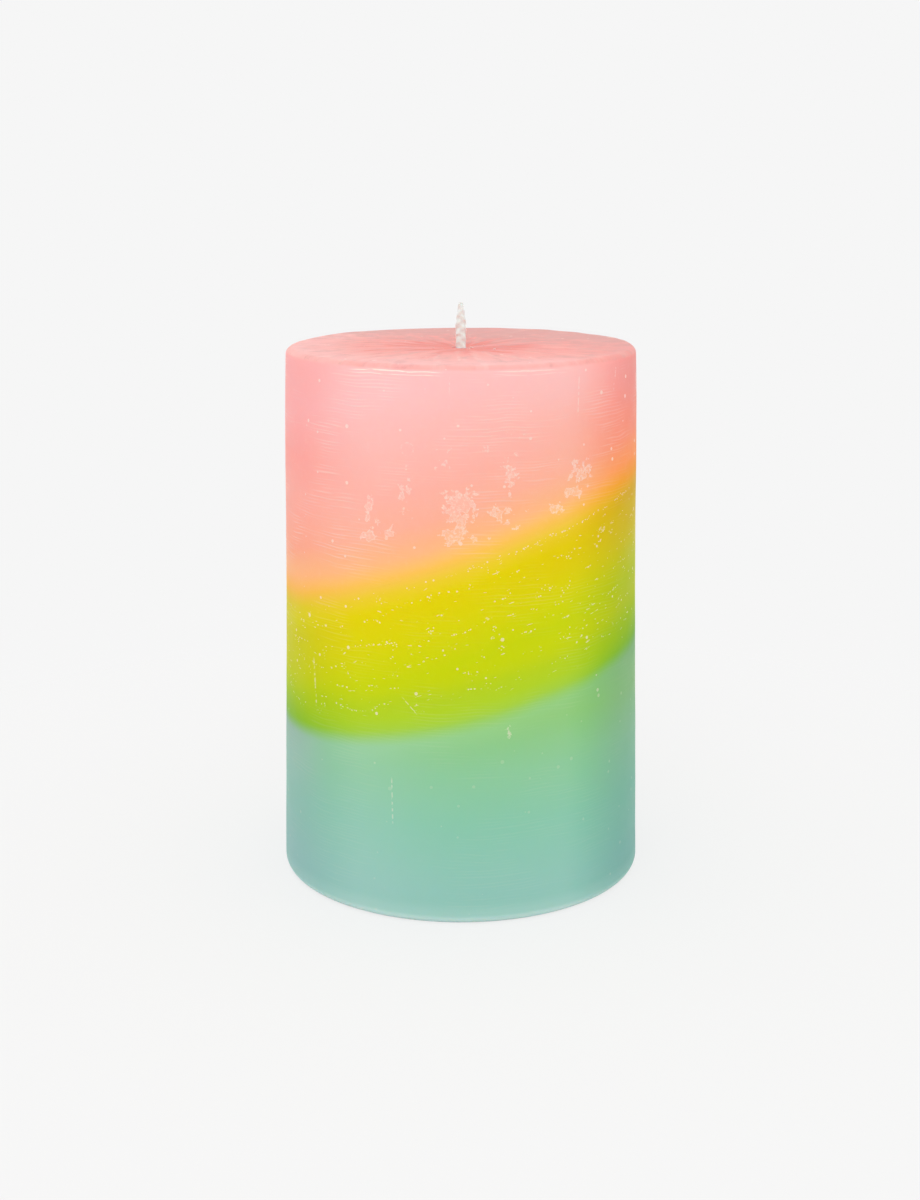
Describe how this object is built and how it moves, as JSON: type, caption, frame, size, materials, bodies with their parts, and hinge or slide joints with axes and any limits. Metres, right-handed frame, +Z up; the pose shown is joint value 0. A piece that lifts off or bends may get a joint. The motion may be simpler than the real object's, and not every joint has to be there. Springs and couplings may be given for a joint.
{
  "type": "pillar candle",
  "caption": "Round scented pillar candle cast in slanted coloured layers, with a plaited cotton wick on the axis and a flat base to stand on.",
  "frame": {"origin": "middle of the resting face, on the candle's axis", "axes": "+Z up the wick, front towards -Y, the layers rise towards +X"},
  "size_m": [0.068, 0.068, 0.108],
  "materials": {
    "base_wax": "satin blue-green wax",
    "middle_wax": "satin lime to yellow wax",
    "top_wax": "satin coral pink wax",
    "waxed_cotton": "plaited cotton, waxed",
    "tin_plate": "tin-plated sheet steel"
  },
  "bodies": {
    "root": {"base_wax_layer": "base_wax", "middle_wax_layer": "middle_wax", "top_wax_layer": "top_wax", "wick_strand_a": "waxed_cotton", "wick_strand_b": "waxed_cotton", "wick_strand_c": "waxed_cotton", "wick_sustainer": "tin_plate"}
  },
  "joints": []
}
